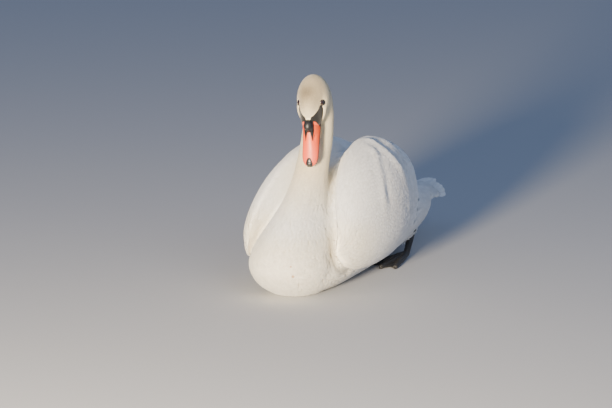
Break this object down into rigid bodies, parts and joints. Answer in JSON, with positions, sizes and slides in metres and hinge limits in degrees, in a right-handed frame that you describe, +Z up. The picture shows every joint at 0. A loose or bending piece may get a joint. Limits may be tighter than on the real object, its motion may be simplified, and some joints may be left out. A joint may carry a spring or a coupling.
{
  "type": "mute swan model",
  "caption": "Life-size still model of a mute swan resting on its belly with wings folded, neck upright and bill drawn in.",
  "frame": {"origin": "centre of the bounding box's underside, on the floor the swan rests on", "axes": "+Z up; the swan looks towards -Y with its tail towards +Y; +X is the swan's left"},
  "size_m": [0.3366, 0.8509, 0.4797],
  "materials": {
    "plumage": "soft white feathers, cream on the neck and buff on the crown",
    "bill": "orange-pink horn, softly shining",
    "black_horn": "black horn with a dull shine",
    "eye": "dark brown, wet and glossy",
    "leg_skin": "dark grey scaled skin, matt"
  },
  "bodies": {
    "root": {"trunk": "plumage", "neck_lower": "plumage", "neck_middle": "plumage", "neck_upper": "plumage", "head": "plumage", "wing_left": "plumage", "wing_right": "plumage", "wing_tip_left": "plumage", "wing_tip_right": "plumage", "tail": "plumage", "bill_upper": "bill", "bill_lower": "bill", "nail": "black_horn", "knob": "black_horn", "eye_left": "eye", "eye_right": "eye", "leg_left": "leg_skin", "leg_right": "leg_skin", "foot_left": "leg_skin", "foot_right": "leg_skin"}
  },
  "joints": []
}
